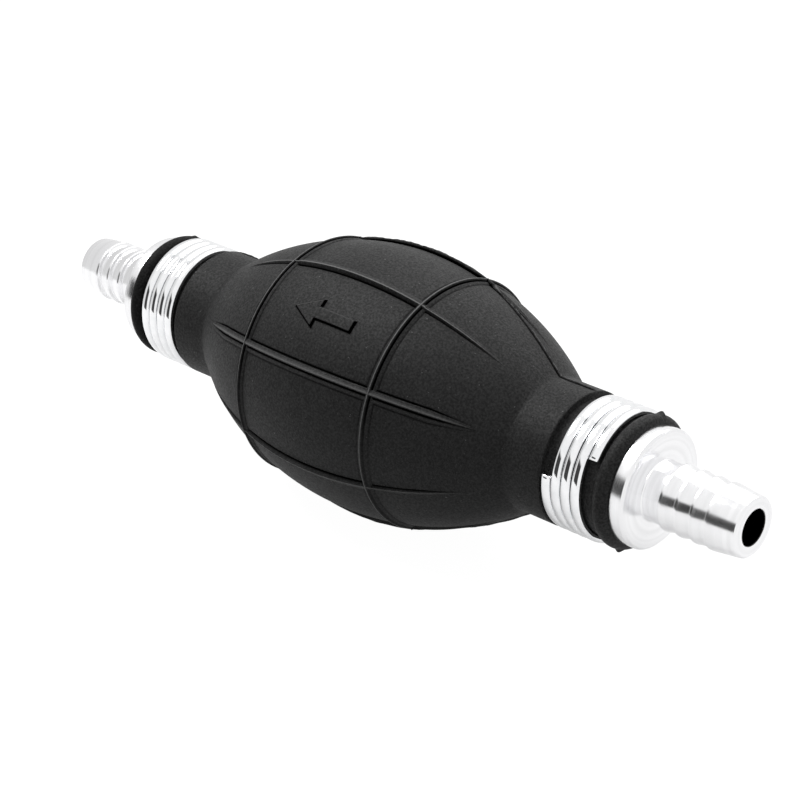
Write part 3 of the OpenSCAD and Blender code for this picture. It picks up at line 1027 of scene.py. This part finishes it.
def camera_axes(azimuth, elevation):
    """Directions to the right, up and back from a camera that looks at the pump."""
    a, e = math.radians(azimuth), math.radians(elevation)
    right = Vector((math.cos(a), math.sin(a), 0))
    back = Vector((math.sin(a) * math.cos(e), -math.cos(a) * math.cos(e), math.sin(e)))
    return right, back.cross(right), back


def add_camera():
    """A long lens from the front right, a little above."""
    right, up, back = camera_axes(CAMERA_AZIMUTH, CAMERA_ELEVATION)
    data = bpy.data.cameras.new("camera")
    data.lens = CAMERA_LENS
    data.sensor_width = 36
    data.clip_start, data.clip_end = 0.01, 20
    camera = bpy.data.objects.new("camera", data)
    bpy.context.scene.collection.objects.link(camera)
    camera.location = right * AIM_RIGHT + up * AIM_UP + back * CAMERA_DISTANCE
    camera.rotation_mode = "QUATERNION"
    camera.rotation_quaternion = Matrix((right, up, back)).transposed().to_quaternion()
    bpy.context.scene.camera = camera


def add_floor(level):
    """A round white table top. It bounces less light onto the pump than a real one would."""
    count = 96
    turns = [2 * math.pi * k / count for k in range(count)]
    rim = [(FLOOR_R * math.cos(a), FLOOR_R * math.sin(a), level) for a in turns]
    mesh = bpy.data.meshes.new("floor")
    mesh.from_pydata(rim, [], [tuple(range(count))])
    floor = bpy.data.objects.new("floor", mesh)
    bpy.context.scene.collection.objects.link(floor)
    material, nodes, links, shader = new_material("floor")
    path = nodes.new("ShaderNodeLightPath")
    colour = None
    for ray, grey in (("Is Glossy Ray", FLOOR_MIRRORED), ("Is Camera Ray", FLOOR_SEEN)):
        mix = nodes.new("ShaderNodeMixRGB")
        links.new(path.outputs[ray], mix.inputs["Fac"])
        mix.inputs["Color1"].default_value = (FLOOR_LIT, FLOOR_LIT, FLOOR_LIT, 1)
        mix.inputs["Color2"].default_value = (grey, grey, grey, 1)
        if colour is not None:
            links.new(colour, mix.inputs["Color1"])
        colour = mix.outputs["Color"]
    links.new(colour, shader.inputs["Base Color"])
    shader.inputs["Roughness"].default_value = 0.8
    shader.inputs["Specular IOR Level"].default_value = 0
    shader.inputs["Emission Color"].default_value = (1, 1, 1, 1)
    glow = math_node(nodes, links, "MULTIPLY", path.outputs["Is Camera Ray"], FLOOR_GLOW_SEEN)
    glow = math_node(nodes, links, "ADD", glow, FLOOR_GLOW)
    lit = math_node(nodes, links, "SUBTRACT", 1.0, path.outputs["Is Diffuse Ray"])
    links.new(math_node(nodes, links, "MULTIPLY", lit, glow), shader.inputs["Emission Strength"])
    mesh.materials.append(material)
    floor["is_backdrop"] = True


def add_softbox(name, location, size, power):
    """A soft rectangular light that faces the pump."""
    data = bpy.data.lights.new(name, "AREA")
    data.shape = "RECTANGLE"
    data.size, data.size_y = size
    data.energy = power
    light = bpy.data.objects.new(name, data)
    bpy.context.scene.collection.objects.link(light)
    light.location = location
    light.rotation_mode = "QUATERNION"
    light.rotation_quaternion = Vector(location).to_track_quat("Z", "Y")


def add_world():
    """A white room with one dark patch low down in front, where a photographer would stand."""
    world = bpy.data.worlds.new("studio")
    world.use_nodes = True
    bpy.context.scene.world = world
    nodes, links = world.node_tree.nodes, world.node_tree.links
    background = nodes["Background"]
    source = nodes.new("ShaderNodeTexCoord")
    split = nodes.new("ShaderNodeSeparateXYZ")
    links.new(source.outputs["Generated"], split.inputs["Vector"])
    low = ramp(nodes, links, split.outputs["Z"], PATCH_HEIGHT)
    front = ramp(nodes, links, split.outputs["Y"], PATCH_DEPTH)
    across = math_node(nodes, links, "SUBTRACT", split.outputs["X"], PATCH_MIDDLE)
    across = math_node(nodes, links, "ABSOLUTE", across, 0)
    beside = ramp(nodes, links, across, PATCH_SPREAD)
    dark = math_node(nodes, links, "MULTIPLY", low, front)
    dark = math_node(nodes, links, "MULTIPLY", dark, beside)
    left = math_node(nodes, links, "MULTIPLY", split.outputs["X"], -1.0)
    wall = ramp(nodes, links, left, WALL_BRIGHTNESS)
    room = math_node(nodes, links, "SUBTRACT", wall, dark)
    path = nodes.new("ShaderNodeLightPath")
    mix = nodes.new("ShaderNodeMixRGB")
    links.new(path.outputs["Is Camera Ray"], mix.inputs["Fac"])
    links.new(room, mix.inputs["Color1"])
    mix.inputs["Color2"].default_value = (1, 1, 1, 1)
    links.new(mix.outputs["Color"], background.inputs["Color"])
    seen = math_node(nodes, links, "MULTIPLY", path.outputs["Is Camera Ray"], ROOM_SEEN)
    gloss = math_node(nodes, links, "MULTIPLY", path.outputs["Is Glossy Ray"], ROOM_MIRRORED)
    strength = math_node(nodes, links, "ADD", seen, gloss)
    strength = math_node(nodes, links, "ADD", strength, ROOM_LIGHT)
    links.new(strength, background.inputs["Strength"])


def add_stage():
    """Floor, room, lights and camera."""
    low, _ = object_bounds()
    add_floor(low.z)
    add_world()
    for softbox in SOFTBOXES:
        add_softbox(*softbox)
    add_camera()
    bpy.context.scene.view_settings.view_transform = "Standard"


def write_sizes():
    """Measures the box of the finished visual."""
    low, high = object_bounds()


add_bulb()
add_metal()
add_springs()
dress_cad_nodes()
add_stage()
write_sizes()
